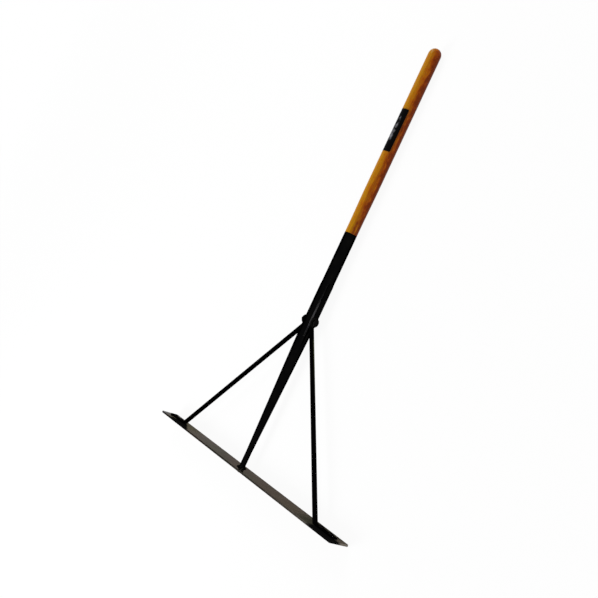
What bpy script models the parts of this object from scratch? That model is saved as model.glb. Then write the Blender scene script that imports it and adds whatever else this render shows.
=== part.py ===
"""A smoothing rake: a flat steel blade, a tapered steel socket, two flat braces and a wooden handle.

The rake is modelled standing up. X runs along the blade, Z up the handle, and Y towards the edge
that works the ground. It is then laid down on that edge and on the end of its handle, with the
origin in the middle of the working edge.
"""
from math import asin, atan2, cos, hypot, pi, radians, sin, tan

import bmesh
import bpy
from mathutils import Matrix, Vector

# All sizes are in metres
GAP = 0.0003                        # left between pieces that touch

# The blade, a flat bar that leans a little from square to the handle
BLADE_LENGTH = 0.9144
BLADE_WIDTH = 0.053
BLADE_THICKNESS = 0.0048
BLADE_CORNER_RADIUS = 0.0025
BLADE_TILT = radians(4)

# The wooden handle, as heights above the blade
HANDLE_TIP = 1.1845
HANDLE_DIAMETER = 0.035
HANDLE_NECK_DIAMETER = 0.033
HANDLE_NECK_LENGTH = 0.018
HANDLE_SWELL_LENGTH = 0.110
HANDLE_DOME = 0.0185
TENON_CHAMFER = 0.002

# The socket, sheet steel rolled to a tapered tube, its tip drawn down solid
SOCKET_DIAMETER = 0.033
SOCKET_WALL = 0.0018
SOCKET_MOUTH = 0.656
SOCKET_MOUTH_BEVEL = 0.0005
SOCKET_SEAM = 0.0015
TIP_DIAMETER = 0.015
TIP_LENGTH = 0.040
TIP_SOLID_LENGTH = 0.055
TENON_TO_TAPER = 0.010              # from the tenon's end down to where the socket starts to taper
BOLT_TO_TENON_END = 0.033

# The braces, flat bars bent at the socket and again at the blade
BRACE_WIDTH = 0.0145
BRACE_THICKNESS = 0.0032
BRACE_EDGE_BEVEL = 0.0004
BRACE_END_RADIUS = 0.004
BRACE_BEND_RADIUS = 0.005
BRACE_BEND_HEIGHT = 0.396
BRACE_LAP_LENGTH = 0.120
FOOT_BEND_TO_BLADE_END = 0.1012
FOOT_END_TO_BLADE_END = 0.017

# The bolt through the braces, the socket and the handle
BRACE_BOLT_DIAMETER = 0.0095
BRACE_BOLT_ACROSS_FLATS = 0.0143
BRACE_BOLT_HEAD = 0.0062
BRACE_NUT_HEIGHT = 0.0084
BRACE_BOLT_PAST_NUT = 0.0020
BRACE_BOLT_ABOVE_BEND = 0.0003      # from the bend's end to the washer's rim
BRACE_WASHER_DIAMETER = 0.0254
BRACE_WASHER_THICKNESS = 0.0021

# The two bolts in each foot of the braces
FOOT_BOLT_DIAMETER = 0.0063
FOOT_BOLT_HEAD_DIAMETER = 0.0143
FOOT_BOLT_HEAD = 0.0034
FOOT_BOLT_NECK = 0.0066             # across the flats of the square under the head
FOOT_BOLT_PAST_NUT = 0.0006
FOOT_NUT_ACROSS_FLATS = 0.0111
FOOT_NUT_HEIGHT = 0.0052
FOOT_BOLT_FROM_BEND = 0.025
FOOT_BOLT_FROM_END = 0.020

# The joint between the blade and the socket's tip
COLLAR_DIAMETER = 0.026
COLLAR_THICKNESS = 0.0040
COLLAR_BEVEL = 0.0008
CENTRE_BOLT_DIAMETER = 0.0079
CENTRE_BOLT_ACROSS_FLATS = 0.0127
CENTRE_BOLT_HEAD = 0.0053
CENTRE_BOLT_GRIP = 0.018            # how far the bolt screws into the tip
CENTRE_HOLE_SPARE_DEPTH = 0.002
CENTRE_WASHER_DIAMETER = 0.022
CENTRE_WASHER_THICKNESS = 0.0020

# How finely round shapes are made
TUBE_SIDES = 48
BOLT_SIDES = 24
WASHER_SIDES = 32
BEND_STEPS = 7
SWELL_STEPS = 6
DOME_STEPS = 7
CORNER_STEPS = 4
NUT_BEVEL_SHARE = 0.12              # of a nut's or head's height
CUT_OVERSHOOT = 0.010               # how far a cutting tool runs past what it cuts

# Places that follow from the sizes above
half_blade = BLADE_LENGTH / 2
foot_bend = half_blade - FOOT_BEND_TO_BLADE_END
foot_end = half_blade - FOOT_END_TO_BLADE_END
foot_bolts = {"inner": foot_bend + FOOT_BOLT_FROM_BEND, "outer": foot_end - FOOT_BOLT_FROM_END}
lap_offset = SOCKET_DIAMETER / 2 + GAP + BRACE_THICKNESS / 2
foot_lift = GAP + BRACE_THICKNESS / 2
foot_top = GAP + BRACE_THICKNESS
slant = atan2(foot_bend - lap_offset, BRACE_BEND_HEIGHT - foot_lift)
lap_bend_reach = BRACE_BEND_RADIUS * tan(slant / 2)
brace_bolt_height = BRACE_BEND_HEIGHT + lap_bend_reach + BRACE_BOLT_ABOVE_BEND + BRACE_WASHER_DIAMETER / 2
tenon_end = brace_bolt_height - BOLT_TO_TENON_END
taper_top = tenon_end - TENON_TO_TAPER
bore_diameter = SOCKET_DIAMETER - 2 * SOCKET_WALL
collar_top = GAP + COLLAR_THICKNESS
tip_bottom = (collar_top + GAP) / cos(BLADE_TILT)
taper_bottom = tip_bottom + TIP_LENGTH
bore_floor = tip_bottom + TIP_SOLID_LENGTH


def round_outline(diameter):
    """Radius of a circle at any angle."""
    return lambda angle: diameter / 2


def sided_outline(across_flats, sides):
    """Radius at each angle of a regular outline, such as a nut's hexagon or a bolt's square neck."""
    sector = 2 * pi / sides
    return lambda angle: across_flats / 2 / cos((angle + sector / 2) % sector - sector / 2)


def skinned(name, rings, parent, ring=False):
    """Joins rings of points, one after another, into one closed solid.

    A ring joins its last row of points to its first; any other solid is capped at both ends.
    """
    bm = bmesh.new()
    rows = [[bm.verts.new(point) for point in points] for points in rings]
    pairs = list(zip(rows, rows[1:]))
    if ring:
        pairs.append((rows[-1], rows[0]))
    else:
        bm.faces.new(rows[0])
        bm.faces.new(rows[-1])
    for lower, upper in pairs:
        for k in range(len(lower)):
            following = (k + 1) % len(lower)
            bm.faces.new((lower[k], lower[following], upper[following], upper[k]))
    return finished(name, bm, parent)


def lofted(name, levels, sides, parent, ring=False):
    """Joins outlines, each at its own height on the local Z axis, into one closed solid."""
    angles = [2 * pi * k / sides for k in range(sides)]
    rings = [[Vector((cos(a) * outline(a), sin(a) * outline(a), height)) for a in angles]
             for height, outline in levels]
    return skinned(name, rings, parent, ring)


def finished(name, bm, parent):
    """Turns a bmesh into an object whose faces point out and whose round sides shade smoothly."""
    bmesh.ops.recalc_face_normals(bm, faces=bm.faces)
    mesh = bpy.data.meshes.new(name)
    bm.to_mesh(mesh)
    bm.free()
    mesh.shade_smooth()
    mesh.set_sharp_from_angle(angle=radians(32))
    piece = bpy.data.objects.new(name, mesh)
    bpy.context.collection.objects.link(piece)
    piece.parent = parent
    return piece


def empty(name, parent):
    """A frame that other pieces hang from."""
    frame = bpy.data.objects.new(name, None)
    bpy.context.collection.objects.link(frame)
    frame.parent = parent
    return frame


def cutter(name, outline, bottom, top, sides, parent):
    """A prism on the local Z axis that only serves to cut holes."""
    tool = lofted(name, [(bottom, outline), (top, outline)], sides, parent)
    tool.hide_render = True
    tool.display_type = "WIRE"
    return tool


def cut(piece, tool):
    """Takes the cutter's shape out of the piece."""
    modifier = piece.modifiers.new(tool.name, "BOOLEAN")
    modifier.operation = "DIFFERENCE"
    modifier.solver = "EXACT"
    modifier.object = tool


def finish(piece, colour, roughness, metallic):
    """Gives the piece a material of its own."""
    material = bpy.data.materials.new(piece.name)
    material.use_nodes = True
    shader = material.node_tree.nodes["Principled BSDF"]
    shader.inputs["Base Color"].default_value = (*colour, 1)
    shader.inputs["Roughness"].default_value = roughness
    shader.inputs["Metallic"].default_value = metallic
    piece.data.materials.clear()
    piece.data.materials.append(material)


def black_enamel(piece):
    finish(piece, (0.012, 0.012, 0.013), 0.30, 0.0)


def mill_steel(piece):
    finish(piece, (0.20, 0.18, 0.16), 0.38, 1.0)


def plated_steel(piece):
    finish(piece, (0.16, 0.16, 0.17), 0.40, 1.0)


def varnished_ash(piece):
    finish(piece, (0.46, 0.21, 0.03), 0.35, 0.0)


def fillet_points(before, corner, after, radius):
    """Points of the arc that rounds one corner of a flat route."""
    arriving = (before - corner).normalized()
    leaving = (after - corner).normalized()
    half_angle = arriving.angle(leaving) / 2
    reach = radius / tan(half_angle)
    centre = corner + (arriving + leaving).normalized() * radius / sin(half_angle)
    first = (corner + arriving * reach - centre).normalized()
    last = (corner + leaving * reach - centre).normalized()
    return [centre + radius * first.slerp(last, k / BEND_STEPS) for k in range(BEND_STEPS + 1)]


def brace_stations():
    """The brace from its top end to its foot's end: points (out, up), half widths and twists.

    The twist goes from none to full round the lower bend, because the foot lies on the leaning
    blade while the lap stands square against the socket.
    """
    top = Vector((lap_offset, BRACE_BEND_HEIGHT + BRACE_LAP_LENGTH))
    upper_corner = Vector((lap_offset, BRACE_BEND_HEIGHT))
    lower_corner = Vector((foot_bend, foot_lift))
    end = Vector((foot_end, foot_lift))
    half = BRACE_WIDTH / 2
    stations = []
    turns = [pi / 2 * k / CORNER_STEPS for k in range(CORNER_STEPS + 1)]
    rounding = [(BRACE_END_RADIUS * (1 - cos(a)), half - BRACE_END_RADIUS * (1 - sin(a))) for a in turns]
    for distance, width in rounding:
        stations.append((top + Vector((0, -distance)), width, 0.0))
    for point in fillet_points(top, upper_corner, lower_corner, BRACE_BEND_RADIUS):
        stations.append((point, half, 0.0))
    for k, point in enumerate(fillet_points(upper_corner, lower_corner, end, BRACE_BEND_RADIUS)):
        stations.append((point, half, k / BEND_STEPS))
    for distance, width in reversed(rounding):
        stations.append((end + Vector((-distance, 0)), width, 1.0))
    return stations


def brace(name, side, parent):
    """A flat bar skinned over its stations, on one side of the socket."""
    stations = brace_stations()
    half_thick = BRACE_THICKNESS / 2
    rings = []
    for index, (point, half_width, twist) in enumerate(stations):
        behind = stations[max(index - 1, 0)][0]
        ahead = stations[min(index + 1, len(stations) - 1)][0]
        tangent = (ahead - behind).normalized()
        lean = Matrix.Rotation(twist * BLADE_TILT, 3, "X")
        centre = lean @ Vector((side * point.x, 0, point.y))
        across = lean @ Vector((0, 1, 0))
        through = lean @ Vector((-side * tangent.y, 0, tangent.x))
        corner = [(half_width - BRACE_EDGE_BEVEL, half_thick), (half_width, half_thick - BRACE_EDGE_BEVEL)]
        right = corner + [(w, -t) for w, t in reversed(corner)]
        outline = right + [(-w, t) for w, t in reversed(right)]
        rings.append([centre + across * w + through * t for w, t in outline])
    return skinned(name, rings, parent)


def nut_levels(across_flats, height, hole_diameter):
    """A hexagon nut with its corners turned off at both faces."""
    bevel = NUT_BEVEL_SHARE * height
    hexagon = sided_outline(across_flats, 6)
    face = round_outline(across_flats)
    hole = round_outline(hole_diameter)
    return [(0, face), (bevel, hexagon), (height - bevel, hexagon), (height, face), (height, hole), (0, hole)]


def hex_bolt_levels(across_flats, head, diameter, length):
    """A hexagon bolt, its head below zero and its shank up to the given length."""
    bevel = NUT_BEVEL_SHARE * head
    hexagon = sided_outline(across_flats, 6)
    shank = round_outline(diameter)
    point = round_outline(diameter - 2 * bevel)
    return [(-head, round_outline(across_flats)), (bevel - head, hexagon), (0, hexagon), (0, shank),
            (length - bevel, shank), (length, point)]


def carriage_bolt_levels(head_diameter, head, neck, neck_length, diameter, length):
    """A round-headed bolt, its head below zero, then a square neck and a round shank."""
    bevel = NUT_BEVEL_SHARE * head
    square = sided_outline(neck, 4)
    shank = round_outline(diameter)
    dome = [(-head * cos(a), round_outline(head_diameter * sin(a)))
            for a in (pi / 2 * (k + 0.3) / DOME_STEPS for k in range(DOME_STEPS))]
    return dome + [(0, round_outline(head_diameter)), (0, square), (neck_length, square), (neck_length, shank),
                   (length - bevel, shank), (length, round_outline(diameter - 2 * bevel))]


def washer_levels(diameter, thickness, hole_diameter):
    """A flat ring."""
    outer = round_outline(diameter)
    hole = round_outline(hole_diameter)
    return [(0, outer), (thickness, outer), (thickness, hole), (0, hole)]


def make_blade(face):
    """The flat bar, its top on the frame's XY plane, drilled for its five bolts."""
    bm = bmesh.new()
    size = (BLADE_LENGTH, BLADE_WIDTH, BLADE_THICKNESS)
    middle = Matrix.Translation((0, 0, -BLADE_THICKNESS / 2))
    bmesh.ops.create_cube(bm, size=1, matrix=middle @ Matrix.Diagonal((*size, 1)))
    upright = [edge for edge in bm.edges if abs(edge.verts[0].co.z - edge.verts[1].co.z) > BLADE_THICKNESS / 2]
    bmesh.ops.bevel(bm, geom=upright, offset=BLADE_CORNER_RADIUS, offset_type="OFFSET",
                    segments=CORNER_STEPS, profile=0.5, affect="EDGES")
    blade = finished("blade", bm, face)
    mill_steel(blade)
    holes = {"centre": (0, CENTRE_BOLT_DIAMETER)}
    for side in (-1, 1):
        for place, distance in foot_bolts.items():
            holes[f"{place}_{side}"] = (side * distance, FOOT_BOLT_DIAMETER)
    for place, (distance, diameter) in holes.items():
        tool = cutter(f"cut_blade_{place}", round_outline(diameter + 2 * GAP), -BLADE_THICKNESS - CUT_OVERSHOOT,
                      CUT_OVERSHOOT, BOLT_SIDES, face)
        tool.location.x = distance
        cut(blade, tool)


def make_socket(tool, face):
    """The rolled tube: straight at the top, tapered below, with an open seam on its hidden side."""
    inner_floor = SOCKET_DIAMETER - 2 * SOCKET_WALL - (SOCKET_DIAMETER - TIP_DIAMETER) * (
        (taper_top - bore_floor) / (taper_top - taper_bottom))
    outer = round_outline(SOCKET_DIAMETER)
    tip = round_outline(TIP_DIAMETER)
    bore = round_outline(bore_diameter)
    levels = [
        (tip_bottom, tip),
        (taper_bottom, tip),
        (taper_top, outer),
        (SOCKET_MOUTH - SOCKET_MOUTH_BEVEL, outer),
        (SOCKET_MOUTH, round_outline(SOCKET_DIAMETER - 2 * SOCKET_MOUTH_BEVEL)),
        (SOCKET_MOUTH, bore),
        (taper_top, bore),
        (bore_floor, round_outline(inner_floor)),
    ]
    socket = lofted("socket", levels, TUBE_SIDES, tool)
    for vert in socket.data.vertices:
        if vert.co.z < tip_bottom + GAP:
            vert.co.z += vert.co.y * tan(BLADE_TILT)
    black_enamel(socket)

    bm = bmesh.new()
    reach = SOCKET_DIAMETER / 2 + CUT_OVERSHOOT
    height = SOCKET_MOUTH + CUT_OVERSHOOT - bore_floor
    middle = Matrix.Translation((0, reach / 2, bore_floor + height / 2))
    bmesh.ops.create_cube(bm, size=1, matrix=middle @ Matrix.Diagonal((SOCKET_SEAM, reach, height, 1)))
    seam = finished("cut_socket_seam", bm, tool)
    seam.hide_render = True
    seam.display_type = "WIRE"
    cut(socket, seam)

    hole = round_outline(BRACE_BOLT_DIAMETER + 2 * GAP)
    cross = cutter("cut_socket_cross", hole, -reach, reach, BOLT_SIDES, tool)
    cross.location.z = brace_bolt_height
    cross.rotation_euler.y = radians(90)
    cut(socket, cross)

    depth = collar_top + CENTRE_BOLT_GRIP + CENTRE_HOLE_SPARE_DEPTH
    tapped = round_outline(CENTRE_BOLT_DIAMETER + 2 * GAP)
    cut(socket, cutter("cut_socket_tip", tapped, -CUT_OVERSHOOT, depth, BOLT_SIDES, face))


def make_handle(tool):
    """The turned handle: a tenon in the socket, a slim neck, a swell to full size and a domed end."""
    neck = HANDLE_NECK_DIAMETER
    shoulder = SOCKET_MOUTH + GAP
    dome_base = HANDLE_TIP - HANDLE_DOME
    tenon = round_outline(bore_diameter - 2 * GAP)
    levels = [
        (tenon_end, round_outline(bore_diameter - 2 * GAP - 2 * TENON_CHAMFER)),
        (tenon_end + TENON_CHAMFER, tenon),
        (shoulder, tenon),
        (shoulder, round_outline(neck)),
    ]
    for k in range(SWELL_STEPS + 1):
        share = k / SWELL_STEPS
        ease = share * share * (3 - 2 * share)
        height = shoulder + HANDLE_NECK_LENGTH + share * HANDLE_SWELL_LENGTH
        levels.append((height, round_outline(neck + (HANDLE_DIAMETER - neck) * ease)))
    for k in range(DOME_STEPS):
        angle = pi / 2 * k / DOME_STEPS
        levels.append((dome_base + HANDLE_DOME * sin(angle), round_outline(HANDLE_DIAMETER * cos(angle))))
    last = pi / 2 * (1 - 0.25 / DOME_STEPS)
    levels.append((dome_base + HANDLE_DOME * sin(last), round_outline(HANDLE_DIAMETER * cos(last))))
    handle = lofted("wood_handle", levels, TUBE_SIDES, tool)
    varnished_ash(handle)
    hole = round_outline(BRACE_BOLT_DIAMETER + 2 * GAP)
    reach = HANDLE_DIAMETER / 2 + CUT_OVERSHOOT
    cross = cutter("cut_handle_cross", hole, -reach, reach, BOLT_SIDES, tool)
    cross.location.z = brace_bolt_height
    cross.rotation_euler.y = radians(90)
    cut(handle, cross)


def make_braces(tool, face):
    """The two flat bars and the holes for their bolts."""
    reach = SOCKET_DIAMETER / 2 + BRACE_THICKNESS + CUT_OVERSHOOT
    wide_hole = round_outline(BRACE_BOLT_DIAMETER + 2 * GAP)
    foot_hole = sided_outline(FOOT_BOLT_NECK + 2 * GAP, 4)
    for label, side in (("left", -1), ("right", 1)):
        bar = brace(f"brace_{label}", side, tool)
        black_enamel(bar)
        cross = cutter(f"cut_brace_{label}", wide_hole, 0, reach, BOLT_SIDES, tool)
        cross.location.z = brace_bolt_height
        cross.rotation_euler.y = side * radians(90)
        cut(bar, cross)
        for place, distance in foot_bolts.items():
            hole = cutter(f"cut_foot_{label}_{place}", foot_hole, -GAP, foot_top + CUT_OVERSHOOT, BOLT_SIDES, face)
            hole.location.x = side * distance
            cut(bar, hole)


def make_brace_bolt(tool):
    """The long bolt through both braces, a washer under its head on the right and its nut on the left."""
    bar_face = lap_offset + BRACE_THICKNESS / 2
    washer_bottom = bar_face + GAP
    seat = washer_bottom + BRACE_WASHER_THICKNESS + GAP
    hole = BRACE_BOLT_DIAMETER + 2 * GAP
    length = 2 * seat + BRACE_NUT_HEIGHT + BRACE_BOLT_PAST_NUT
    bolt = lofted("brace_bolt", hex_bolt_levels(BRACE_BOLT_ACROSS_FLATS, BRACE_BOLT_HEAD, BRACE_BOLT_DIAMETER,
                                                length), BOLT_SIDES, tool)
    nut = lofted("brace_nut", nut_levels(BRACE_BOLT_ACROSS_FLATS, BRACE_NUT_HEIGHT, hole), BOLT_SIDES, tool,
                 ring=True)
    ring = washer_levels(BRACE_WASHER_DIAMETER, BRACE_WASHER_THICKNESS, hole)
    head_washer = lofted("brace_bolt_washer", ring, WASHER_SIDES, tool, ring=True)
    nut_washer = lofted("brace_nut_washer", ring, WASHER_SIDES, tool, ring=True)
    for piece, offset in ((bolt, seat), (nut, -seat), (head_washer, seat - GAP), (nut_washer, -washer_bottom)):
        piece.location = (offset, 0, brace_bolt_height)
        piece.rotation_euler.y = radians(-90)
        plated_steel(piece)


def make_foot_bolts(face):
    """Round-headed bolts down through the feet and the blade, with a thin nut below."""
    head_seat = foot_top + GAP
    nut_top = BLADE_THICKNESS + GAP
    length = head_seat + nut_top + FOOT_NUT_HEIGHT + FOOT_BOLT_PAST_NUT
    hole = FOOT_BOLT_DIAMETER + 2 * GAP
    bolt_shape = carriage_bolt_levels(FOOT_BOLT_HEAD_DIAMETER, FOOT_BOLT_HEAD, FOOT_BOLT_NECK, BRACE_THICKNESS,
                                      FOOT_BOLT_DIAMETER, length)
    nut_shape = nut_levels(FOOT_NUT_ACROSS_FLATS, FOOT_NUT_HEIGHT, hole)
    for label, side in (("left", -1), ("right", 1)):
        for place, distance in foot_bolts.items():
            bolt = lofted(f"foot_bolt_{label}_{place}", bolt_shape, BOLT_SIDES, face)
            nut = lofted(f"foot_nut_{label}_{place}", nut_shape, BOLT_SIDES, face, ring=True)
            for piece, height in ((bolt, head_seat), (nut, -nut_top)):
                piece.location = (side * distance, 0, height)
                piece.rotation_euler.x = radians(180)
                plated_steel(piece)


def make_centre_joint(face):
    """The collar on the blade, and the bolt that comes up from below into the socket's tip."""
    hole = round_outline(CENTRE_BOLT_DIAMETER + 2 * GAP)
    rim = round_outline(COLLAR_DIAMETER)
    shoulder = round_outline(COLLAR_DIAMETER - 2 * COLLAR_BEVEL)
    levels = [(GAP, rim), (collar_top - COLLAR_BEVEL, rim), (collar_top, shoulder), (collar_top, hole), (GAP, hole)]
    black_enamel(lofted("socket_collar", levels, WASHER_SIDES, face, ring=True))

    washer_bottom = -BLADE_THICKNESS - GAP - CENTRE_WASHER_THICKNESS
    ring = washer_levels(CENTRE_WASHER_DIAMETER, CENTRE_WASHER_THICKNESS, CENTRE_BOLT_DIAMETER + 2 * GAP)
    washer = lofted("centre_washer", ring, WASHER_SIDES, face, ring=True)
    washer.location.z = washer_bottom
    plated_steel(washer)

    seat = washer_bottom - GAP
    length = collar_top + CENTRE_BOLT_GRIP - seat
    levels = hex_bolt_levels(CENTRE_BOLT_ACROSS_FLATS, CENTRE_BOLT_HEAD, CENTRE_BOLT_DIAMETER, length)
    bolt = lofted("centre_bolt", levels, BOLT_SIDES, face)
    bolt.location.z = seat
    plated_steel(bolt)


def lay_down(tool):
    """Rests the tool on the blade's lowest corner and the handle's end, origin at the working edge."""
    width_way = Vector((0, cos(BLADE_TILT), sin(BLADE_TILT)))
    face_way = Vector((0, -sin(BLADE_TILT), cos(BLADE_TILT)))
    edge_middle = width_way * BLADE_WIDTH / 2 - face_way * BLADE_THICKNESS / 2
    low_corner = width_way * BLADE_WIDTH / 2 - face_way * BLADE_THICKNESS
    run = HANDLE_TIP - HANDLE_DOME - low_corner.z
    drop = atan2(low_corner.y, run) - asin(HANDLE_DIAMETER / 2 / hypot(low_corner.y, run))
    turn = Matrix.Rotation(-pi / 2 - drop, 3, "X")
    tool.rotation_euler.x = -pi / 2 - drop
    tool.location = -(turn @ edge_middle)


for leftover in list(bpy.data.objects):
    bpy.data.objects.remove(leftover)

rake = empty("rake", None)
blade_face = empty("blade_face", rake)
blade_face.rotation_euler.x = BLADE_TILT

make_blade(blade_face)
make_socket(rake, blade_face)
make_handle(rake)
make_braces(rake, blade_face)
make_brace_bolt(rake)
make_foot_bolts(blade_face)
make_centre_joint(blade_face)
lay_down(rake)
bpy.context.view_layer.update()
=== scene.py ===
"""The looks of a smoothing rake: steel blade, black socket and braces, amber varnished handle."""
from math import cos, pi, radians, sin

import bpy
from mathutils import Matrix, Vector


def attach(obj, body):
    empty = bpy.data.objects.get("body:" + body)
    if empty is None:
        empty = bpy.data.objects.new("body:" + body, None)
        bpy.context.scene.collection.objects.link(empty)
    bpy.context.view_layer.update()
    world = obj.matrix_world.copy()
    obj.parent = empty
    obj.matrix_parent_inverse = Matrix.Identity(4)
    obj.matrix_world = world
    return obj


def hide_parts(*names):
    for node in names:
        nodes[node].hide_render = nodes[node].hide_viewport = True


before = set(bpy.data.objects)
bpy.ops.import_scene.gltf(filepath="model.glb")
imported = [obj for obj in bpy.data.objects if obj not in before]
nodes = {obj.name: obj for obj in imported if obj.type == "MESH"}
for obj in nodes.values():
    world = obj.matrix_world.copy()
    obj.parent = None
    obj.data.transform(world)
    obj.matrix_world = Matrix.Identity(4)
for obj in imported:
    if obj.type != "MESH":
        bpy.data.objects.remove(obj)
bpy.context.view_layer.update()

# The photographer's place, looking down past the right end of the blade, and a white studio round it.
# The floor and the world are white to the lens and to mirror-like surfaces, and the floor keeps the
# soft shadow of the rake.
CAMERA_PLACE = (2.0296261, 0.3774086, 1.4107774)
CAMERA_TURN = (33.699254, 48.858599, 39.494322)     # degrees about X, Y and Z
CAMERA_LENS = 58.005755             # millimetres
CAMERA_SENSOR = 36
WORLD_LIGHT = 0.42                  # how strongly the world lights the rake
FLOOR_SIZE = 12
FLOOR_MIDDLE = (0, 0.5, -0.0006)
PAPER_SHADE = 0.80
WHITE_NEAR_RAKE = 0.93
GREY_REACH = 1.0                    # the floor is least white up to this far from its middle
WHITE_REACH = 3.5                   # and quite white from here on
AIM = Vector((0, 0.4, 0))           # where the lamps point
# A wide lamp behind the blade, another beyond the handle's end, and a tall narrow one below the lens,
# which draws the streak on the socket. Each has its place, its two sizes and its watts.
LAMPS = (("blade_lamp", (-1.3, -1.7, 2.0), 1.6, 1.6, 85),
         ("handle_lamp", (-1.1, 3.0, 1.7), 1.4, 1.4, 45),
         ("lens_lamp", (2.300, 0.500, 0.930), 0.09, 1.3, 9.0))

camera = bpy.data.objects.new("photo_camera", bpy.data.cameras.new("photo_camera"))
camera.data.lens = CAMERA_LENS
camera.data.sensor_width = CAMERA_SENSOR
camera.location = CAMERA_PLACE
camera.rotation_euler = [radians(turn) for turn in CAMERA_TURN]
bpy.context.collection.objects.link(camera)
bpy.context.scene.camera = camera
bpy.context.scene.view_settings.view_transform = "Standard"


def shader_node(tree, kind, feeds, **settings):
    """One node, each of its sockets fed by a plain value or by another node's output."""
    node = tree.nodes.new(kind)
    for name, value in settings.items():
        setattr(node, name, value)
    for socket, value in feeds.items():
        if isinstance(value, bpy.types.NodeSocket):
            tree.links.new(value, node.inputs[socket])
        else:
            node.inputs[socket].default_value = value
    return node


def maths(tree, operation, *values, clamp=False):
    """The result of one sum on sockets or numbers."""
    return shader_node(tree, "ShaderNodeMath", dict(enumerate(values)), operation=operation,
                       use_clamp=clamp).outputs[0]


def fade(tree, value, start, end, first=0.0, last=1.0):
    """What goes from first to last while the value goes from start to end."""
    return shader_node(tree, "ShaderNodeMapRange", {"Value": value, "From Min": start, "From Max": end,
                                                    "To Min": first, "To Max": last}).outputs[0]


def seen_directly(tree):
    """1 for what the lens and mirror-like surfaces see, 0 for what only lights the rake."""
    path = tree.nodes.new("ShaderNodeLightPath")
    glossy = maths(tree, "MAXIMUM", path.outputs["Is Camera Ray"], path.outputs["Is Glossy Ray"])
    return maths(tree, "MAXIMUM", glossy, path.outputs["Is Transmission Ray"])


studio = bpy.data.worlds.new("studio")
studio.use_nodes = True
bpy.context.scene.world = studio
tree = studio.node_tree
background = tree.nodes["Background"]
tree.links.new(fade(tree, seen_directly(tree), 0.0, 1.0, WORLD_LIGHT, 1.0), background.inputs["Strength"])
background.inputs["Color"].default_value = (1, 1, 1, 1)

bpy.ops.object.select_all(action="DESELECT")
bpy.ops.mesh.primitive_plane_add(size=FLOOR_SIZE, location=FLOOR_MIDDLE)
floor = bpy.context.object
floor.name = "studio_floor"
paper = bpy.data.materials.new("white_paper")
paper.use_nodes = True
tree = paper.node_tree
surface = tree.nodes["Principled BSDF"]
surface.inputs["Base Color"].default_value = (PAPER_SHADE, PAPER_SHADE, PAPER_SHADE, 1)
surface.inputs["Roughness"].default_value = 0.9
surface.inputs["Specular IOR Level"].default_value = 0.0
glow = shader_node(tree, "ShaderNodeEmission", {"Color": (1, 1, 1, 1), "Strength": 1.0})
spot = tree.nodes.new("ShaderNodeTexCoord")
far_off = shader_node(tree, "ShaderNodeVectorMath", {0: spot.outputs["Object"]}, operation="LENGTH")
white = fade(tree, far_off.outputs["Value"], GREY_REACH, WHITE_REACH, WHITE_NEAR_RAKE, 1.0)
share = maths(tree, "MULTIPLY", seen_directly(tree), white)
mixed = shader_node(tree, "ShaderNodeMixShader", {0: share, 1: surface.outputs[0], 2: glow.outputs[0]})
tree.links.new(mixed.outputs[0], tree.nodes["Material Output"].inputs["Surface"])
floor.data.materials.append(paper)

for name, place, width, height, watts in LAMPS:
    lamp = bpy.data.objects.new(name, bpy.data.lights.new(name, "AREA"))
    lamp.data.shape = "RECTANGLE"
    lamp.data.size = width
    lamp.data.size_y = height
    lamp.data.energy = watts
    lamp.location = place
    lamp.rotation_euler = (Vector(place) - AIM).to_track_quat("Z", "Y").to_euler()
    bpy.context.collection.objects.link(lamp)

# The handle: a long ash stick, turned round, its end domed by hand, then dipped in amber varnish.
# The grain runs straight up it, with rings where the lathe cut through them. Its uppermost side is painted
# paler, as light, and its lower side is painted darker, as shade.
TOWARD_LIGHT = (-0.56, 0.0073, 0.83)   # across the handle, toward its painted lit side
HANDLE_MIDDLE = 0.0229              # the handle's middle line, measured that way
PITH_SHIFT = (0.050, 0, 0.012)      # from the middle of the tree to the middle of the handle
RINGS_PER_METRE = 330.0
MOTTLE_SWING = 0.034                # how far the mottles push the wood's shades up and down
# Heights above that line between which the painted light, the painted shade and the painted shadow by the
# band come in
LIGHT_COMES = (-0.008, 0.014)
SHADE_COMES = (-0.0015, -0.0105)
BAND_SHADOW_COMES = (-0.0085, 0.0)
SHADOW_PAST_BAND = 0.004              # how far past the ends of the band the painted shadow reaches
BAND_SHADOW_FADE = 0.010
PALER_FROM = 0.72                   # up the handle: below this a painted highlight pales it towards the socket
SOCKET_MOUTH = 0.665
# The wood's own shades, and a paler copy of them painted on the upper side as light
WOOD_SHADES = ((0.18, (0.275, 0.034, 0.0002)),
                (0.50, (0.385, 0.052, 0.0003)),
                (0.82, (0.500, 0.082, 0.0006)))
LIT_WOOD_SHADES = ((0.18, (0.315, 0.120, 0.0010)),
              (0.50, (0.435, 0.182, 0.0020)),
              (0.82, (0.540, 0.245, 0.0040)))
# Painted shade for the handle's lower side
SHADED_SIDE_COLOUR = (0.150, 0.020, 0.0004)
# Painted shadow along the band's lower edge
BAND_SHADOW_SHADE = (0.050, 0.015, 0.001)
DRIFT_SHADE = (0.16, 0.042, 0.001)
PORE_SHADE = (0.07, 0.018, 0.002)
BAND_LENGTH = 0.120
BAND_MIDDLE = 0.9457                # up the handle, from the blade
# How the standing rake is laid down on its working edge and the end of its handle
RAKE_LIE = Matrix.Translation((0, 0.00075654, 0.0265977)) @ Matrix.Rotation(radians(-90.454347), 4, "X")


def ramp(tree, value, stops):
    """A colour for each value, from (place, colour) stops."""
    node = shader_node(tree, "ShaderNodeValToRGB", {"Fac": value})
    elements = node.color_ramp.elements
    while len(elements) < len(stops):
        elements.new(0.5)
    for element, (place, colour) in zip(elements, stops):
        element.position = place
        element.color = (*colour, 1)
    return node.outputs["Color"]


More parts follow.
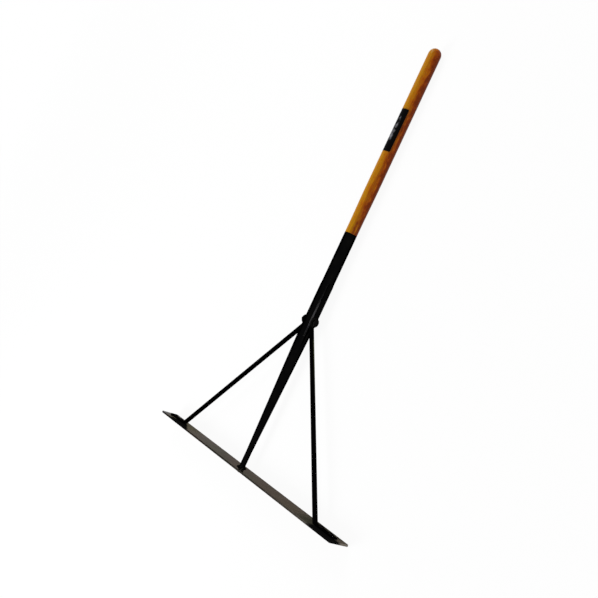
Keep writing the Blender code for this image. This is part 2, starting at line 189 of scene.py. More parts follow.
def blend_colours(tree, share, first, second, mode="MIX"):
    """Two colours mixed by a share."""
    node = shader_node(tree, "ShaderNodeMix", {"Factor": share}, data_type="RGBA", blend_type=mode)
    for index, value in ((6, first), (7, second)):
        if isinstance(value, bpy.types.NodeSocket):
            tree.links.new(value, node.inputs[index])
        else:
            node.inputs[index].default_value = (*value, 1)
    return node.outputs[2]


def new_material(name):
    """A material, its node tree and its shader."""
    material = bpy.data.materials.new(name)
    material.use_nodes = True
    return material, material.node_tree, material.node_tree.nodes["Principled BSDF"]


def stretched(tree, stretch=(1, 1, 1), offset=(0, 0, 0)):
    """Object coordinates in metres, stretched along the axes."""
    place = tree.nodes.new("ShaderNodeTexCoord")
    return shader_node(tree, "ShaderNodeMapping", {"Vector": place.outputs["Object"], "Scale": stretch,
                                                   "Location": offset}).outputs[0]


def split(tree, vector):
    """A vector's three numbers."""
    return shader_node(tree, "ShaderNodeSeparateXYZ", {0: vector}).outputs


def measured_along(tree, vector, direction):
    """How far a vector reaches in a direction."""
    return shader_node(tree, "ShaderNodeVectorMath", {0: vector, 1: direction},
                       operation="DOT_PRODUCT").outputs["Value"]


def speckle(tree, vector, scale, detail=3.0, roughness=0.55):
    """Plain noise from 0 to 1."""
    return shader_node(tree, "ShaderNodeTexNoise", {"Vector": vector, "Scale": scale, "Detail": detail,
                                                    "Roughness": roughness}).outputs["Fac"]


def bumpy(tree, shader, height, strength, distance):
    """The shader's skin raised and lowered by a height."""
    bump = shader_node(tree, "ShaderNodeBump", {"Height": height, "Strength": strength,
                                                "Distance": distance})
    tree.links.new(bump.outputs[0], shader.inputs["Normal"])


def dressed(node, material):
    """A CAD piece given its material."""
    nodes[node].data.materials.clear()
    nodes[node].data.materials.append(material)


wood, tree, shader = new_material("amber_varnished_ash")
from_pith = split(tree, stretched(tree, offset=PITH_SHIFT))
up_handle = from_pith["Y"]
across = maths(tree, "POWER", from_pith["X"], 2.0)
deep = maths(tree, "POWER", from_pith["Z"], 2.0)
pith_distance = maths(tree, "SQRT", maths(tree, "ADD", across, deep))
waver = speckle(tree, stretched(tree, (1, 0.14, 1)), scale=34, detail=2.0)
waver = maths(tree, "MULTIPLY", waver, 1.7)
rings = maths(tree, "FRACT", maths(tree, "MULTIPLY_ADD", pith_distance, RINGS_PER_METRE, waver))
fibres = speckle(tree, stretched(tree, (1, 0.02, 1)), scale=900, detail=4.0, roughness=0.7)
ring_share = maths(tree, "MULTIPLY", rings, 0.30)
grain = maths(tree, "ADD", ring_share, maths(tree, "MULTIPLY", fibres, 0.75), clamp=True)
# The painted light and shade lie by height on the stick, pushed up and down by mottles
height = maths(tree, "ADD", measured_along(tree, stretched(tree), TOWARD_LIGHT), -HANDLE_MIDDLE)
mottles = speckle(tree, stretched(tree, (1, 0.4, 1), (0.7, 0.2, 0)), scale=110, roughness=0.6)
mottled = maths(tree, "ADD", height, maths(tree, "MULTIPLY_ADD", mottles, MOTTLE_SWING, -MOTTLE_SWING / 2))
shaded_side = fade(tree, mottled, *SHADE_COMES, 0.0, 0.9)
# A painted highlight that pales the wood towards the socket
socket_highlight = fade(tree, up_handle, PALER_FROM, SOCKET_MOUTH, 0.0, 0.010)
lit_side = fade(tree, maths(tree, "ADD", mottled, socket_highlight), *LIGHT_COMES)
amber = blend_colours(tree, lit_side, ramp(tree, grain, WOOD_SHADES), ramp(tree, grain, LIT_WOOD_SHADES))
amber = blend_colours(tree, shaded_side, amber, SHADED_SIDE_COLOUR)
# A painted shadow along the lower edge of the band
band_place = (RAKE_LIE @ Vector((0, 0, BAND_MIDDLE))).y
from_band = maths(tree, "ABSOLUTE", maths(tree, "SUBTRACT", up_handle, band_place))
band_shadow_end = BAND_LENGTH / 2 + SHADOW_PAST_BAND
along_band = fade(tree, from_band, band_shadow_end, band_shadow_end - BAND_SHADOW_FADE)
band_shadow = maths(tree, "MULTIPLY", fade(tree, height, *BAND_SHADOW_COMES), along_band)
amber = blend_colours(tree, maths(tree, "MULTIPLY", band_shadow, 0.6), amber, BAND_SHADOW_SHADE)
# A slow drift towards brown, and fine open pores in the dark half of each ring
drift = speckle(tree, stretched(tree, (0.2, 1, 0.2)), scale=3.2, detail=1.0)
amber = blend_colours(tree, maths(tree, "MULTIPLY", drift, 0.20), amber, DRIFT_SHADE)
pores = speckle(tree, stretched(tree, (1, 0.035, 1), (0.3, 0, 0)), scale=2100, detail=1.0)
pores = maths(tree, "MULTIPLY", fade(tree, pores, 0.66, 0.74), maths(tree, "LESS_THAN", rings, 0.35))
amber = blend_colours(tree, maths(tree, "MULTIPLY", pores, 0.6), amber, PORE_SHADE)
tree.links.new(amber, shader.inputs["Base Color"])
tree.links.new(ramp(tree, fibres, ((0.3, (0.30,) * 3), (0.7, (0.42,) * 3))), shader.inputs["Roughness"])
shader.inputs["Specular IOR Level"].default_value = 0.04
shader.inputs["Coat Weight"].default_value = 0.06
shader.inputs["Coat Roughness"].default_value = 0.10
bumpy(tree, shader, maths(tree, "SUBTRACT", fibres, pores), strength=0.25, distance=0.0004)
dressed("wood_handle", wood)

# The band on the handle: a black vinyl sticker wrapped a little less than half way round, its print
# worn to pale scuffs. It is left plain, without words.
BAND_ARC = radians(160)
BAND_TURN = radians(-111)           # the band's middle, round from the blade's right end
BAND_THICKNESS = 0.00015
BAND_CORNER = 0.0035
BAND_STRIPS = 36                    # flat strips that the wrapped band is made of
BAND_CLEARANCE = 0.00005
HANDLE_RADIUS = 0.0175
VINYL_SHADE = (0.0018, 0.0017, 0.0017)
SCUFF_SHADE = (0.175, 0.175, 0.190)
# The middle of the scuffs, and how far from it they fade out, as shares of the band's width and length
SCUFF_MIDDLE = (0.36, 0.56)
SCUFFS_FADE_ASIDE = (0.15, 0.07)
SCUFFS_FADE_ENDWAYS = (0.31, 0.26)
band_width = BAND_ARC * HANDLE_RADIUS

bpy.ops.object.select_all(action="DESELECT")
bpy.ops.mesh.primitive_plane_add(size=1)
band = bpy.context.object
band.name = "handle_band"
bpy.ops.transform.resize(value=(band_width, BAND_LENGTH, 1))
bpy.ops.object.transform_apply(location=False, rotation=False, scale=True)
bpy.ops.object.mode_set(mode="EDIT")
bpy.ops.mesh.select_all(action="SELECT")
bpy.ops.mesh.bevel(offset=BAND_CORNER, segments=6, affect="VERTICES")
for k in range(1, BAND_STRIPS):
    bpy.ops.mesh.select_all(action="SELECT")
    bpy.ops.mesh.bisect(plane_co=((k / BAND_STRIPS - 0.5) * band_width, 0, 0), plane_no=(1, 0, 0))
bpy.ops.object.mode_set(mode="OBJECT")
print_map = band.data.uv_layers.new(name="print")
for loop in band.data.loops:
    flat = band.data.vertices[loop.vertex_index].co
    print_map.data[loop.index].uv = (flat.x / band_width + 0.5, flat.y / BAND_LENGTH + 0.5)
reach = HANDLE_RADIUS + BAND_CLEARANCE
for vertex in band.data.vertices:
    turn = BAND_TURN - vertex.co.x / HANDLE_RADIUS
    vertex.co = RAKE_LIE @ Vector((reach * cos(turn), reach * sin(turn), BAND_MIDDLE + vertex.co.y))
thick = band.modifiers.new("thick", "SOLIDIFY")
thick.thickness = BAND_THICKNESS
thick.offset = 1
bpy.ops.object.modifier_apply(modifier="thick")
bpy.ops.object.shade_smooth_by_angle(angle=radians(40))

vinyl, tree, shader = new_material("scuffed_black_vinyl")
flat = shader_node(tree, "ShaderNodeUVMap", {}, uv_map="print").outputs[0]
on_band = split(tree, flat)
stretched_flat = shader_node(tree, "ShaderNodeMapping", {"Vector": flat, "Scale": (3, 7, 1)}).outputs[0]
scuffs = fade(tree, speckle(tree, stretched_flat, scale=1.3, detail=2.0), 0.44, 0.62)
aside = maths(tree, "ABSOLUTE", maths(tree, "SUBTRACT", on_band["X"], SCUFF_MIDDLE[0]))
endways = maths(tree, "ABSOLUTE", maths(tree, "SUBTRACT", on_band["Y"], SCUFF_MIDDLE[1]))
aside = fade(tree, aside, *SCUFFS_FADE_ASIDE)
endways = fade(tree, endways, *SCUFFS_FADE_ENDWAYS)
pale = maths(tree, "MULTIPLY", scuffs, maths(tree, "MULTIPLY", aside, endways))
tree.links.new(blend_colours(tree, pale, VINYL_SHADE, SCUFF_SHADE), shader.inputs["Base Color"])
tree.links.new(maths(tree, "MULTIPLY_ADD", pale, 0.3, 0.32), shader.inputs["Roughness"])
shader.inputs["Specular IOR Level"].default_value = 0.02
creases = speckle(tree, stretched(tree, (1, 0.3, 1)), scale=320)
bumpy(tree, shader, creases, strength=0.2, distance=0.0002)
band.data.materials.append(vinyl)
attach(band, "root")

# The socket and the two braces: sheet rolled and drawn to a taper, and flat bar bent cold, dipped
# together in black enamel. The enamel is glossy on the socket and duller on the bars, a little wavy,
# rubbed thin on the edges, and dusty in patches.
ENAMEL_SHADES = ((0.35, (0.0022, 0.0022, 0.0025)), (0.75, (0.0040, 0.0038, 0.0036)))
THIN_ENAMEL = (0.022, 0.021, 0.019)
# An olive highlight painted along the right brace's lower corner
PAINTED_OLIVE_HIGHLIGHT = (0.058, 0.062, 0.034)
RIM_SHINE = (0.02, 0.02, 0.02, 1)   # how little black skins reflect at a low angle
OUTLINE = (0.78, 0.90)              # how far a face turns away while its last shine fades out
HIGHLIGHT_START = 0.20                    # up the right brace: the painted highlight starts here,
HIGHLIGHT_FULL = 0.36                     # is strongest from here
HIGHLIGHT_END = 0.372                     # and ends here, where the brace meets the socket
BRACE_MIDDLE = 0.0266               # the braces' middle above the ground, at the blade
BRACE_FALL = 0.00793                # and how much it falls for each metre towards the socket

worn = bpy.data.node_groups.new("worn_edges", "ShaderNodeTree")
for name, value in (("Width", 0.0008), ("Amount", 1.0)):
    own_value = worn.interface.new_socket(name=name, in_out="INPUT", socket_type="NodeSocketFloat")
    own_value.default_value = value
worn.interface.new_socket(name="Mask", in_out="OUTPUT", socket_type="NodeSocketFloat")
ends_in = worn.nodes.new("NodeGroupInput")
ends_out = worn.nodes.new("NodeGroupOutput")
rounded = shader_node(worn, "ShaderNodeBevel", {"Radius": ends_in.outputs["Width"]}, samples=4)
skin_normal = worn.nodes.new("ShaderNodeNewGeometry").outputs["Normal"]
agree = measured_along(worn, rounded.outputs[0], skin_normal)
bend = maths(worn, "MULTIPLY", maths(worn, "SUBTRACT", 1.0, agree), 6.0, clamp=True)
patchy = speckle(worn, stretched(worn), scale=160, detail=5.0, roughness=0.7)
patchy = fade(worn, patchy, 0.42, 0.62)
rubbed = maths(worn, "MULTIPLY", bend, patchy)
rubbed = maths(worn, "MULTIPLY", rubbed, ends_in.outputs["Amount"], clamp=True)
worn.links.new(rubbed, ends_out.inputs["Mask"])


def worn_edges(tree, width, amount):
    """1 on the rubbed stretches of a piece's edges."""
    return shader_node(tree, "ShaderNodeGroup", {"Width": width, "Amount": amount},
                       node_tree=worn).outputs["Mask"]


def facing_away(tree):
    """0 on a surface seen from straight ahead, 1 at its outline."""
    return shader_node(tree, "ShaderNodeLayerWeight", {"Blend": 0.5}).outputs["Facing"]


def black_skin(tree, shader):
    """A black that barely shines, and not at its outline, where a shine would show as a pale line."""
    shader.inputs["Specular Tint"].default_value = RIM_SHINE
    shader.inputs["Specular IOR Level"].default_value = 0.0
    tree.links.new(fade(tree, facing_away(tree), *OUTLINE, 1.0, 0.0), shader.inputs["Metallic"])


def corner_highlight(tree):
    """1 along the lower corners of the right brace, where a highlight is painted, strongest near the
    socket.
    """
    place = stretched(tree)
    up = split(tree, place)["Y"]
    strength = maths(tree, "POWER", fade(tree, up, HIGHLIGHT_START, HIGHLIGHT_FULL), 2.0)
    strength = maths(tree, "MULTIPLY", strength, maths(tree, "LESS_THAN", up, HIGHLIGHT_END))
    above_ground = measured_along(tree, place, (0, BRACE_FALL, 1))
    corner = fade(tree, above_ground, BRACE_MIDDLE - 0.0025, BRACE_MIDDLE - 0.0040)
    return maths(tree, "MULTIPLY", strength, corner)


def black_enamel(name, gloss, wear, painted_highlight=None):
    """Black enamel with rubbed edges, faint dust, a slightly wavy skin and any painted highlight it is
    given.
    """
    material, tree, shader = new_material(name)
    dust = speckle(tree, stretched(tree), scale=45, detail=6.0, roughness=0.65)
    edges = worn_edges(tree, width=0.0012, amount=wear)
    skin = blend_colours(tree, edges, ramp(tree, dust, ENAMEL_SHADES), THIN_ENAMEL)
    # An olive highlight painted on where one is given
    if painted_highlight:
        skin = blend_colours(tree, painted_highlight(tree), skin, PAINTED_OLIVE_HIGHLIGHT)
    tree.links.new(skin, shader.inputs["Base Color"])
    tree.links.new(maths(tree, "MULTIPLY_ADD", dust, 0.06, gloss), shader.inputs["Roughness"])
    black_skin(tree, shader)
    waves = speckle(tree, stretched(tree), scale=260, detail=2.0)
    bumpy(tree, shader, waves, strength=0.04, distance=0.0003)
    return material


# Each piece's own roughness, its share of rubbed edges, and where a highlight is painted on it
for name, gloss, wear, painted_highlight in (("socket", 0.07, 0.4, None),
                               ("brace_left", 0.36, 0.08, None),
                               ("brace_right", 0.36, 0.08, corner_highlight)):
    dressed(name, black_enamel(f"enamel_{name}", gloss, wear, painted_highlight))

# The blade: a length of hot-rolled flat bar, cut square, its scale left on and lightly oiled.
# The scale is mottled brown-grey, scratched along its length by use, dull from straight ahead and
# mirror-like along its face.
# A black patch is painted on the half of it behind the feet, for their reflection and shadow, and its long
# edge faces are painted dark as shade.
SCALE_SHADES = ((0.38, (0.120, 0.104, 0.080)),
                (0.50, (0.142, 0.112, 0.106)),
                (0.60, (0.112, 0.120, 0.096)))
CLOUD_SHADES = ((0.32, (0.65,) * 3), (0.52, (1.0,) * 3), (0.72, (1.45,) * 3))
FLECK_SHADE = (0.090, 0.070, 0.052)
RUBBED_SCALE = (0.220, 0.200, 0.170)
BLUE_SCALE = (0.250, 0.285, 0.330)
OLIVE_HAZE = (0.080, 0.073, 0.024)
GREEN_HAZE = (0.036, 0.037, 0.024)
# Painted shade for the blade's long edge faces
PAINTED_EDGE_SHADE = (0.020, 0.018, 0.016)
# Painted reflection and shadow of the feet, behind them
FOOT_REFLECTION_SHADE = (0.004, 0.004, 0.004)
BRIGHT_STEEL = (0.24, 0.23, 0.22)
LOW_ANGLE_TINT = (0.297, 0.281, 0.266, 1)           # what it reflects at a low angle
LOW_ANGLE = (0.35, 0.74)            # how far a face turns away while it grows mirror-like
DULL_AHEAD = 0.26                   # the roughness that it then loses
FACE_NORMAL = (0, 0.998, -0.062)    # the way the blade's front face looks
BAR_END = 0.4570                    # from the middle: the bar's cut ends lie past this
# Along the blade from its middle: where the rubbed and the blued scale come in
RUBBED_COMES = (-0.05, 0.30)
BLUED_COMES = (-0.42, -0.445)
FEET_MIDDLE = 0.024              # midway between the two feet's painted reflections, along the blade
# Outward from there: where the haze and the painted reflection and shadow come in and go out
HAZE_COMES = (0.24, 0.30)
HAZE_THINS = (0.405, 0.420)
HAZE_ENDS = 0.44
REFLECTION_COMES = (0.330, 0.342)
REFLECTION_GOES = (0.434, 0.422)
REFLECTION_RISES = (0.0205, 0.0305)    # above the ground: it covers the blade from here up
STRAY = 0.04                        # how far its outline strays along the blade
HAZE_SHIFT = 0.035                  # how much further out the left foot's haze starts
END_SHIFT = 0.014                   # how much further out the right foot's painted reflection ends
LOW_SHIFT = 0.0065                  # how much lower the left foot's painted reflection reaches
LEFT_SLANT = 2.1                    # how much the left painted reflection's inner border leans
LEFT_SHIFT = 0.0817                 # and how much further out it stands, at the ground

scale_steel, tree, shader = new_material("hot_rolled_scale")
clouds = speckle(tree, stretched(tree), scale=42, detail=6.0, roughness=0.62)
flecks = speckle(tree, stretched(tree, (0.35, 1, 1)), scale=420)
scratches = speckle(tree, stretched(tree, (0.012, 1, 1)), scale=2600, detail=2.0)
stains = speckle(tree, stretched(tree, offset=(0.33, 0, 0)), scale=8, detail=2.0)
tints = ramp(tree, stains, SCALE_SHADES)
skin = blend_colours(tree, 1.0, tints, ramp(tree, clouds, CLOUD_SHADES), "MULTIPLY")
skin = blend_colours(tree, maths(tree, "MULTIPLY", flecks, 0.4), skin, FLECK_SHADE)
# The scale is rubbed a little brighter toward the right end, and blued at the left one
place = split(tree, stretched(tree))
rubbed = maths(tree, "MULTIPLY", fade(tree, place["X"], *RUBBED_COMES), 0.45)
skin = blend_colours(tree, rubbed, skin, RUBBED_SCALE)
blued = maths(tree, "MULTIPLY", fade(tree, place["X"], *BLUED_COMES), 0.8)
skin = blend_colours(tree, blued, skin, BLUE_SCALE)
# A thin haze on the front face beside the feet, olive on the left and grey-green on the right
true_normal = tree.nodes.new("ShaderNodeNewGeometry").outputs["True Normal"]
lean = measured_along(tree, true_normal, FACE_NORMAL)
left = maths(tree, "LESS_THAN", place["X"], 0.0)
outward = maths(tree, "ABSOLUTE", maths(tree, "SUBTRACT", place["X"], FEET_MIDDLE))
haze = fade(tree, maths(tree, "MULTIPLY_ADD", left, -HAZE_SHIFT, outward), *HAZE_COMES)
past_foot = fade(tree, outward, *HAZE_THINS, 1.0, 0.4)
past_foot = maths(tree, "MULTIPLY", past_foot, maths(tree, "LESS_THAN", outward, HAZE_ENDS))
haze = maths(tree, "MULTIPLY", haze, past_foot)
haze = maths(tree, "MULTIPLY", haze, maths(tree, "GREATER_THAN", lean, 0.5))
haze_shade = blend_colours(tree, left, GREEN_HAZE, OLIVE_HAZE)
skin = blend_colours(tree, maths(tree, "MULTIPLY", haze, 0.85), skin, haze_shade)
# The painted reflection and shadow of the feet: a black patch with a ragged outline, on all but the blade's
# back face
slant = maths(tree, "MULTIPLY_ADD", place["Z"], LEFT_SLANT, -LEFT_SHIFT)
slant = maths(tree, "MULTIPLY", slant, left)
ragged = maths(tree, "ADD", outward, maths(tree, "MULTIPLY_ADD", clouds, STRAY, -STRAY / 2))
inner = fade(tree, maths(tree, "ADD", ragged, slant), *REFLECTION_COMES)
outer = maths(tree, "ADD", ragged, maths(tree, "MULTIPLY_ADD", left, END_SHIFT, -END_SHIFT))
outer = fade(tree, outer, *REFLECTION_GOES)
behind = fade(tree, maths(tree, "MULTIPLY_ADD", left, LOW_SHIFT, place["Z"]), *REFLECTION_RISES)
behind = maths(tree, "MULTIPLY", behind, maths(tree, "GREATER_THAN", lean, -0.5))
foot_reflection = maths(tree, "MULTIPLY", maths(tree, "MULTIPLY", inner, outer), behind)
# The long edge faces are painted dark as shade, and all edges are rubbed to bare metal
on_edge = maths(tree, "LESS_THAN", maths(tree, "ABSOLUTE", lean), 0.5)
off_ends = maths(tree, "LESS_THAN", maths(tree, "ABSOLUTE", place["X"]), BAR_END)
shaded_long_edges = maths(tree, "MULTIPLY", on_edge, off_ends)
skin = blend_colours(tree, maths(tree, "MULTIPLY", shaded_long_edges, 0.85), skin, PAINTED_EDGE_SHADE)
# The painted reflection and shadow of the feet laid over it
skin = blend_colours(tree, foot_reflection, skin, FOOT_REFLECTION_SHADE)
off_foot_reflection = maths(tree, "MULTIPLY_ADD", foot_reflection, -0.5, 0.5)
bright = maths(tree, "MULTIPLY", worn_edges(tree, width=0.0014, amount=0.9), off_foot_reflection)
skin = blend_colours(tree, bright, skin, BRIGHT_STEEL)
tree.links.new(skin, shader.inputs["Base Color"])
# The scale shines like metal, less under the haze and hardly at all under the painted reflection of the
# feet
shine = fade(tree, clouds, 0.30, 0.70, 0.90, 1.00)
hazed = maths(tree, "MULTIPLY_ADD", left, 0.47, -0.85)
shine = maths(tree, "MULTIPLY", shine, maths(tree, "MULTIPLY_ADD", haze, hazed, 1.0))
reflection_dimming = maths(tree, "MULTIPLY_ADD", left, -0.08, -0.92)
shine = maths(tree, "MULTIPLY", shine, maths(tree, "MULTIPLY_ADD", foot_reflection, reflection_dimming, 1.0))
tree.links.new(shine, shader.inputs["Metallic"])
shader.inputs["Specular Tint"].default_value = LOW_ANGLE_TINT
shader.inputs["Specular IOR Level"].default_value = 0.0
dull = fade(tree, facing_away(tree), *LOW_ANGLE, DULL_AHEAD, 0.0)
rough = maths(tree, "MULTIPLY_ADD", clouds, 0.06, maths(tree, "MULTIPLY_ADD", scratches, 0.03, dull))
tree.links.new(rough, shader.inputs["Roughness"])
scored = maths(tree, "MULTIPLY_ADD", scratches, 0.35, flecks)
bumpy(tree, shader, scored, strength=0.02, distance=0.0003)
dressed("blade", scale_steel)

# The cross bolt: a hexagon bolt through both braces, the socket and the handle's tenon, with a washer
# on each side and a nut on the left. Forged and turned steel with a black-oxide skin, dull and oily,
# rubbed bright on the corners.
SKIN = 0.0003                       # left between pieces that touch
OVERLAP = 0.001                     # how far a shank starts inside its head
OVERCUT = 0.002                     # how far a cutting tool runs past what it cuts
CROSS_PLACE = 0.41084879            # up the handle, from the blade
BAR_FACE = 0.0200                   # from the handle's middle to a brace's outer face
CROSS_FLATS = 0.0143
CROSS_HEAD = 0.0062
CROSS_DIAMETER = 0.0095
CROSS_PITCH = 0.0016
CROSS_PLAIN = 0.045                 # how much of the shank has no thread
CROSS_PAST_NUT = 0.0020
CROSS_NUT = 0.0084
CROSS_WASHER = 0.0021
CROSS_WASHER_DIAMETER = 0.0254
OXIDE_SHADES = ((0.3, (0.0030, 0.0030, 0.0034)), (0.7, (0.0075, 0.0072, 0.0068)))
RUBBED_OXIDE = (0.045, 0.042, 0.040)

oxide, tree, shader = new_material("black_oxide")
bloom = speckle(tree, stretched(tree), scale=500, detail=4.0)
edges = worn_edges(tree, width=0.0007, amount=1.0)
skin = blend_colours(tree, edges, ramp(tree, bloom, OXIDE_SHADES), RUBBED_OXIDE)
tree.links.new(skin, shader.inputs["Base Color"])
tree.links.new(maths(tree, "MULTIPLY_ADD", bloom, 0.25, 0.38), shader.inputs["Roughness"])
black_skin(tree, shader)
bumpy(tree, shader, bloom, strength=0.12, distance=0.0002)


def turned(name, profile, sides=48):
    """A solid turned on the Z axis: a disc drawn along its profile of (height, radius)."""
    bpy.ops.object.select_all(action="DESELECT")
    height, radius = profile[0]
    bpy.ops.mesh.primitive_circle_add(vertices=sides, radius=radius, location=(0, 0, height),
                                      fill_type="NGON")
    piece = bpy.context.object
    piece.name = name
    bpy.ops.object.mode_set(mode="EDIT")
    bpy.ops.mesh.select_all(action="SELECT")
    for next_height, next_radius in profile[1:]:
        bpy.ops.mesh.extrude_region_move(TRANSFORM_OT_translate={"value": (0, 0, next_height - height)})
        share = next_radius / radius
        bpy.ops.transform.resize(value=(share, share, 1), center_override=(0, 0, next_height))
        height, radius = next_height, next_radius
    bpy.ops.mesh.select_all(action="SELECT")
    bpy.ops.mesh.normals_make_consistent(inside=False)
    bpy.ops.object.mode_set(mode="OBJECT")
    bpy.ops.object.transform_apply(location=True, rotation=True, scale=True)
    return piece


def combined(piece, tool, operation):
    """The piece with the tool's shape added, cut away or kept, and the tool thrown away."""
    step = piece.modifiers.new(operation, "BOOLEAN")
    step.operation = operation
    step.solver = "EXACT"
    step.object = tool
    bpy.ops.object.select_all(action="DESELECT")
    bpy.context.view_layer.objects.active = piece
    piece.select_set(True)
    bpy.ops.object.modifier_apply(modifier=operation)
    bpy.data.objects.remove(tool)
    return piece


def hexagon(name, across_flats, height):
    """A slice of hexagon bar standing on the XY plane, its corners turned off at thirty degrees."""
    corner = across_flats / 2 / cos(pi / 6)
    bpy.ops.object.select_all(action="DESELECT")
    bpy.ops.mesh.primitive_cylinder_add(vertices=6, radius=corner, depth=height * 1.4,
                                        location=(0, 0, height / 2))
    bpy.ops.object.transform_apply(location=True, rotation=True, scale=True)
    block = bpy.context.object
    block.name = name
    face = across_flats * 0.475
    past_corner = corner * 1.01
    fall = (past_corner - face) * sin(pi / 6) / cos(pi / 6)
    outline = [(0, face), (fall, past_corner), (height - fall, past_corner), (height, face)]
    return combined(block, turned("crown", outline, 72), "INTERSECT")


def threaded(start, length, diameter, pitch, plain):
    """The profile of a shank, plain at first and then ridged to its chamfered end."""
    root = diameter / 2 - pitch * 0.5
    crest = diameter / 2
    profile = [(start, crest), (start + plain, crest)]
    ridges = int((length - plain) / pitch)
    for k in range(ridges):
        base = start + length - (ridges - k) * pitch
        profile += [(base + pitch * 0.10, root), (base + pitch * 0.45, crest), (base + pitch * 0.60, crest)]
    return profile + [(start + length, root)]


def hanging(profile):
    """A profile turned over, to run down from its head."""
    return [(-height, radius) for height, radius in profile]


def fitted(piece, lie, material, node):
    """The piece laid in its place, its object back at the origin, standing for its CAD node."""
    piece.data.transform(lie)
    bpy.ops.object.select_all(action="DESELECT")
    bpy.context.view_layer.objects.active = piece
    piece.select_set(True)
    bpy.ops.object.shade_smooth_by_angle(angle=radians(32))
    piece.data.materials.clear()
    piece.data.materials.append(material)
    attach(piece, "root")
    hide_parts(node)


def rimmed_disc(name, diameter, thickness, hole):
    """A punched washer: one face rounded over by the punch, the other sharp."""
    edge = thickness * 0.3
    rim = diameter / 2
    disc = turned(name, [(0, rim), (thickness - edge, rim), (thickness - edge * 0.3, rim - edge * 0.3),
                         (thickness, rim - edge)], 64)
    punch = turned("punch", [(-OVERCUT, hole / 2), (thickness + OVERCUT, hole / 2)])
    return combined(disc, punch, "DIFFERENCE")


def nut(name, across_flats, height, hole):
    """A hexagon nut, its bore countersunk at both faces."""
    sink = 0.0004
    mouth = hole / 2 + sink + OVERCUT
    bore = turned("bore", [(-OVERCUT, mouth), (sink, hole / 2), (height - sink, hole / 2),
                           (height + OVERCUT, mouth)])
    return combined(hexagon(name, across_flats, height), bore, "DIFFERENCE")


bolt_middle = RAKE_LIE @ Matrix.Translation((0, 0, CROSS_PLACE))
right_side = bolt_middle @ Matrix.Rotation(radians(90), 4, "Y")
left_side = bolt_middle @ Matrix.Rotation(radians(-90), 4, "Y")
seat = BAR_FACE + SKIN + CROSS_WASHER + SKIN
hole = CROSS_DIAMETER + 2 * SKIN
shank_length = 2 * seat + OVERLAP + CROSS_NUT + CROSS_PAST_NUT
cross_bolt = hexagon("cross_bolt", CROSS_FLATS, CROSS_HEAD)
cross_bolt.data.transform(Matrix.Translation((0, 0, seat)))
shank = threaded(-seat - OVERLAP, shank_length, CROSS_DIAMETER, CROSS_PITCH, CROSS_PLAIN)
combined(cross_bolt, turned("shank", hanging(shank)), "UNION")
fitted(cross_bolt, right_side, oxide, "brace_bolt")
cross_nut = nut("cross_nut", CROSS_FLATS, CROSS_NUT, hole)
fitted(cross_nut, left_side @ Matrix.Translation((0, 0, seat)), oxide, "brace_nut")
for name, lie, node in (("cross_bolt_washer", right_side, "brace_bolt_washer"),
                        ("cross_nut_washer", left_side, "brace_nut_washer")):
    disc = rimmed_disc(name, CROSS_WASHER_DIAMETER, CROSS_WASHER, hole)
    fitted(disc, lie @ Matrix.Translation((0, 0, BAR_FACE + SKIN)), oxide, node)

# The collar between the socket's tip and the blade: turned from bar with a flared skirt, enamelled with
# the socket, and clamped by the centre bolt that runs up through it.
BLADE_TILT = radians(4)             # how far the blade leans from square to the handle
BLADE_LIE = RAKE_LIE @ Matrix.Rotation(BLADE_TILT, 4, "X")
CENTRE_DIAMETER = 0.0079
CENTRE_HOLE = CENTRE_DIAMETER + 2 * SKIN
COLLAR_TOP = 0.0043
COLLAR_FLARE = [(0.0003, 0.0127), (0.0006, 0.0130), (0.0012, 0.0129), (0.0017, 0.0120), (0.0023, 0.0108),
                (0.0030, 0.0098), (0.0037, 0.0091), (COLLAR_TOP, 0.0086)]

collar = turned("flared_collar", COLLAR_FLARE, 64)
bore = turned("bore", [(-OVERCUT, CENTRE_HOLE / 2), (COLLAR_TOP + OVERCUT, CENTRE_HOLE / 2)])
combined(collar, bore, "DIFFERENCE")
fitted(collar, BLADE_LIE, black_enamel("enamel_collar", 0.30, 0.8), "socket_collar")

# The foot bolts: four round-headed carriage bolts down through the braces' feet and the blade, with a
# thin nut below, in the same black oxide.
FOOT_PLACES = (("inner", 0.381), ("outer", 0.4202))
FOOT_HEAD_SEAT = 0.0038             # above the blade's face
FOOT_HEAD_RADIUS = 0.00715
FOOT_HEAD_HEIGHT = 0.0034
FOOT_RIM = 0.0004                   # how much of the head's height is its upright rim
FOOT_DIAMETER = 0.0063
FOOT_PITCH = 0.0012
FOOT_PLAIN = 0.0075
FOOT_OVERLAP = 0.0002               # how far the shank starts inside the head
FOOT_PAST_NUT = 0.0006
FOOT_NUT_FLATS = 0.0111
FOOT_NUT_HEIGHT = 0.0052
BLADE_THICKNESS = 0.0048
under_blade = BLADE_THICKNESS + SKIN

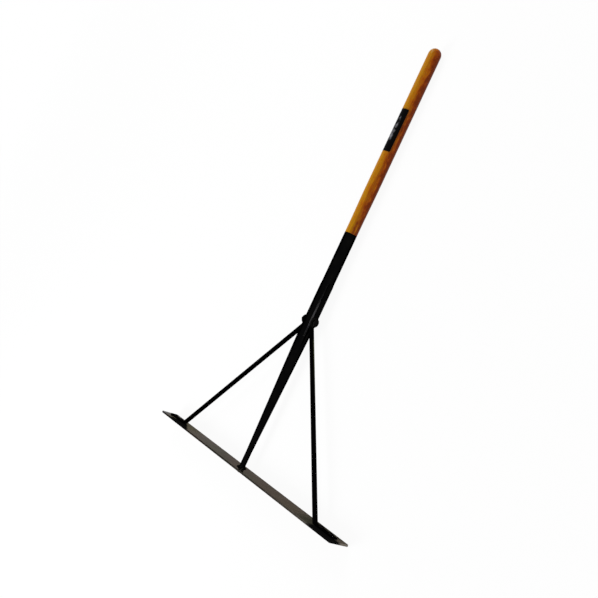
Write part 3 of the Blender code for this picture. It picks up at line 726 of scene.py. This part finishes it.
dome = [(FOOT_HEAD_SEAT, FOOT_HEAD_RADIUS - 0.0002), (FOOT_HEAD_SEAT + 0.0003, FOOT_HEAD_RADIUS)]
dome += [(FOOT_HEAD_SEAT + FOOT_RIM + (FOOT_HEAD_HEIGHT - FOOT_RIM) * sin(radians(angle)),
          FOOT_HEAD_RADIUS * cos(radians(angle))) for angle in (12, 24, 36, 48, 60, 72, 82, 88)]
foot_shank_start = FOOT_HEAD_SEAT + FOOT_OVERLAP
foot_shank = threaded(-foot_shank_start, foot_shank_start + under_blade + FOOT_NUT_HEIGHT + FOOT_PAST_NUT,
                      FOOT_DIAMETER, FOOT_PITCH, FOOT_PLAIN)
below = Matrix.Translation((0, 0, -under_blade - FOOT_NUT_HEIGHT))
for side, side_name in ((-1, "left"), (1, "right")):
    for place, distance in FOOT_PLACES:
        lie = BLADE_LIE @ Matrix.Translation((side * distance, 0, 0))
        foot_bolt = turned(f"foot_bolt_{side_name}_{place}_dressed", dome)
        combined(foot_bolt, turned("shank", hanging(foot_shank), 32), "UNION")
        fitted(foot_bolt, lie, oxide, f"foot_bolt_{side_name}_{place}")
        foot_nut = nut(f"foot_nut_{side_name}_{place}_dressed", FOOT_NUT_FLATS, FOOT_NUT_HEIGHT,
                       FOOT_DIAMETER + 2 * SKIN)
        fitted(foot_nut, lie @ below, oxide, f"foot_nut_{side_name}_{place}")

# The centre bolt: a hexagon bolt up through a washer, the blade and the collar into the socket's solid
# tip, hidden under the blade, in the same black oxide.
CENTRE_FLATS = 0.0127
CENTRE_HEAD = 0.0053
CENTRE_REACH = 0.0287               # from under its head to its end
CENTRE_PITCH = 0.0014
CENTRE_PLAIN = 0.018
CENTRE_WASHER = 0.0020
CENTRE_WASHER_DIAMETER = 0.022

centre_washer = rimmed_disc("centre_bolt_washer", CENTRE_WASHER_DIAMETER, CENTRE_WASHER, CENTRE_HOLE)
washer_lie = BLADE_LIE @ Matrix.Translation((0, 0, -under_blade)) @ Matrix.Rotation(pi, 4, "X")
fitted(centre_washer, washer_lie, oxide, "centre_washer")
centre_bolt = hexagon("centre_bolt_dressed", CENTRE_FLATS, CENTRE_HEAD)
centre_bolt.data.transform(Matrix.Translation((0, 0, -CENTRE_HEAD)))
shank = threaded(-OVERLAP, OVERLAP + CENTRE_REACH, CENTRE_DIAMETER, CENTRE_PITCH, CENTRE_PLAIN)
combined(centre_bolt, turned("shank", shank, 32), "UNION")
head_seat = under_blade + CENTRE_WASHER + SKIN
fitted(centre_bolt, BLADE_LIE @ Matrix.Translation((0, 0, -head_seat)), oxide, "centre_bolt")
